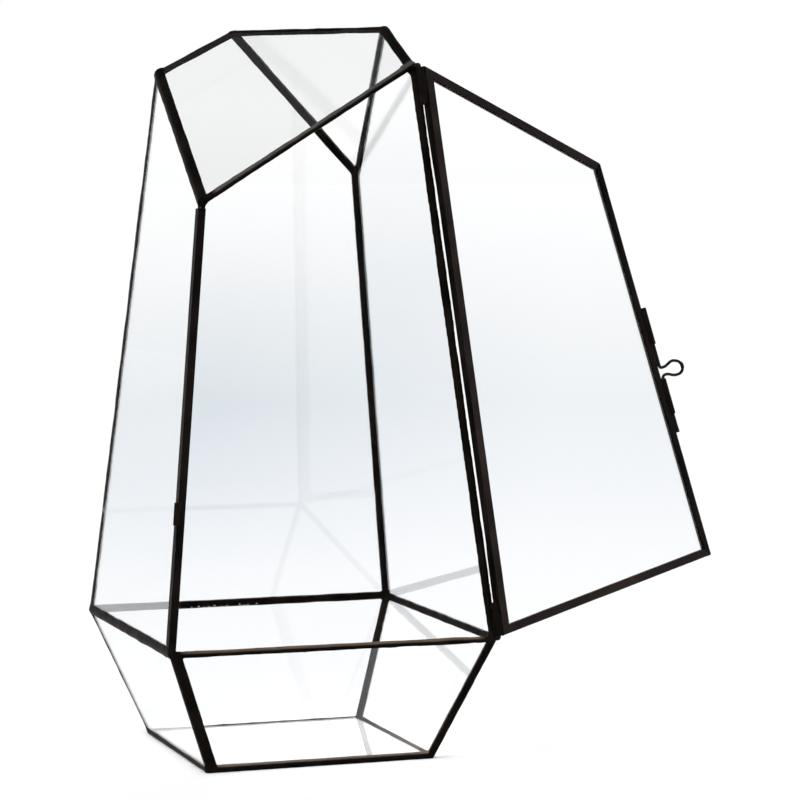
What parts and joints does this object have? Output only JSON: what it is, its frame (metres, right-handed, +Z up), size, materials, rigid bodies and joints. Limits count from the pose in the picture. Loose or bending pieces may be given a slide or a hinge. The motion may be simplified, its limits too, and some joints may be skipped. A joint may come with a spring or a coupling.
{
  "type": "geometric glass terrarium with a hinged door",
  "caption": "Empty geometric glass terrarium: clear panes in dark soldered seams, with a channel-framed glass door that swings on bent pins and a wire bolt with a finger loop.",
  "frame": {"origin": "middle of the base, on the surface that the terrarium stands on", "axes": "+Z up; -Y out of the doorway; the door hinges on the +X side of the doorway and stands open, out towards +X; +Y is the back wall"},
  "size_m": [0.2596, 0.1409, 0.3017],
  "materials": {
    "glass": "clear, faintly cool glass with smooth faces and a few soft reflections",
    "solder": "black patina over slightly wavy hand-run solder, faintly brown where the light catches it",
    "channel": "black patina over drawn channel, straighter and smoother than the solder, brown on the worn edges",
    "tube": "black patina over small tubes",
    "wire": "black patina over bent wire"
  },
  "bodies": {
    "root": {"pane_base": "glass", "pane_lower_front": "glass", "pane_lower_right": "glass", "pane_lower_back": "glass", "pane_lower_left": "glass", "pane_left": "glass", "pane_right": "glass", "pane_back": "glass", "pane_top": "glass", "pane_gable": "glass", "seam_base_front": "solder", "seam_base_right": "solder", "seam_base_back": "solder", "seam_base_left": "solder", "seam_lower_front_left": "solder", "seam_lower_front_right": "solder", "seam_lower_back_right": "solder", "seam_lower_back_left": "solder", "seam_waist_front": "solder", "seam_waist_right": "solder", "seam_waist_back": "solder", "seam_waist_left": "solder", "seam_wall_front_right": "solder", "seam_wall_back_right": "solder", "seam_wall_back_left": "solder", "seam_shoulder_front": "solder", "seam_shoulder_left": "solder", "seam_shoulder_back": "solder", "seam_shoulder_right": "solder", "seam_ridge": "solder", "seam_gable_back": "solder", "seam_gable_right": "solder", "upright_channel": "channel", "hinge_pin_top": "wire", "hinge_pin_bottom": "wire", "latch_keeper": "tube"},
    "door": {"door_pane": "glass", "door_stile_hinge": "channel", "door_rail_top": "channel", "door_stile_latch": "channel", "door_rail_bottom": "channel", "hinge_knuckle_bottom": "tube", "hinge_knuckle_top": "tube", "bolt_guide_upper": "tube", "bolt_guide_lower": "tube"},
    "bolt": {"latch_bolt": "wire"}
  },
  "joints": [
    {"name": "door_hinge", "type": "hinge", "parent": "root", "child": "door", "pos_m": [0.06909, -0.07066, 0.05251], "axis": [-0.1068, 0.1068, 0.9885], "range_deg": [-205.3, 30]},
    {"name": "bolt_slide", "type": "slide", "parent": "door", "child": "bolt", "axis": [-0.2897, 0.0148, 0.957], "range_m": [0, 0.0095]}
  ]
}
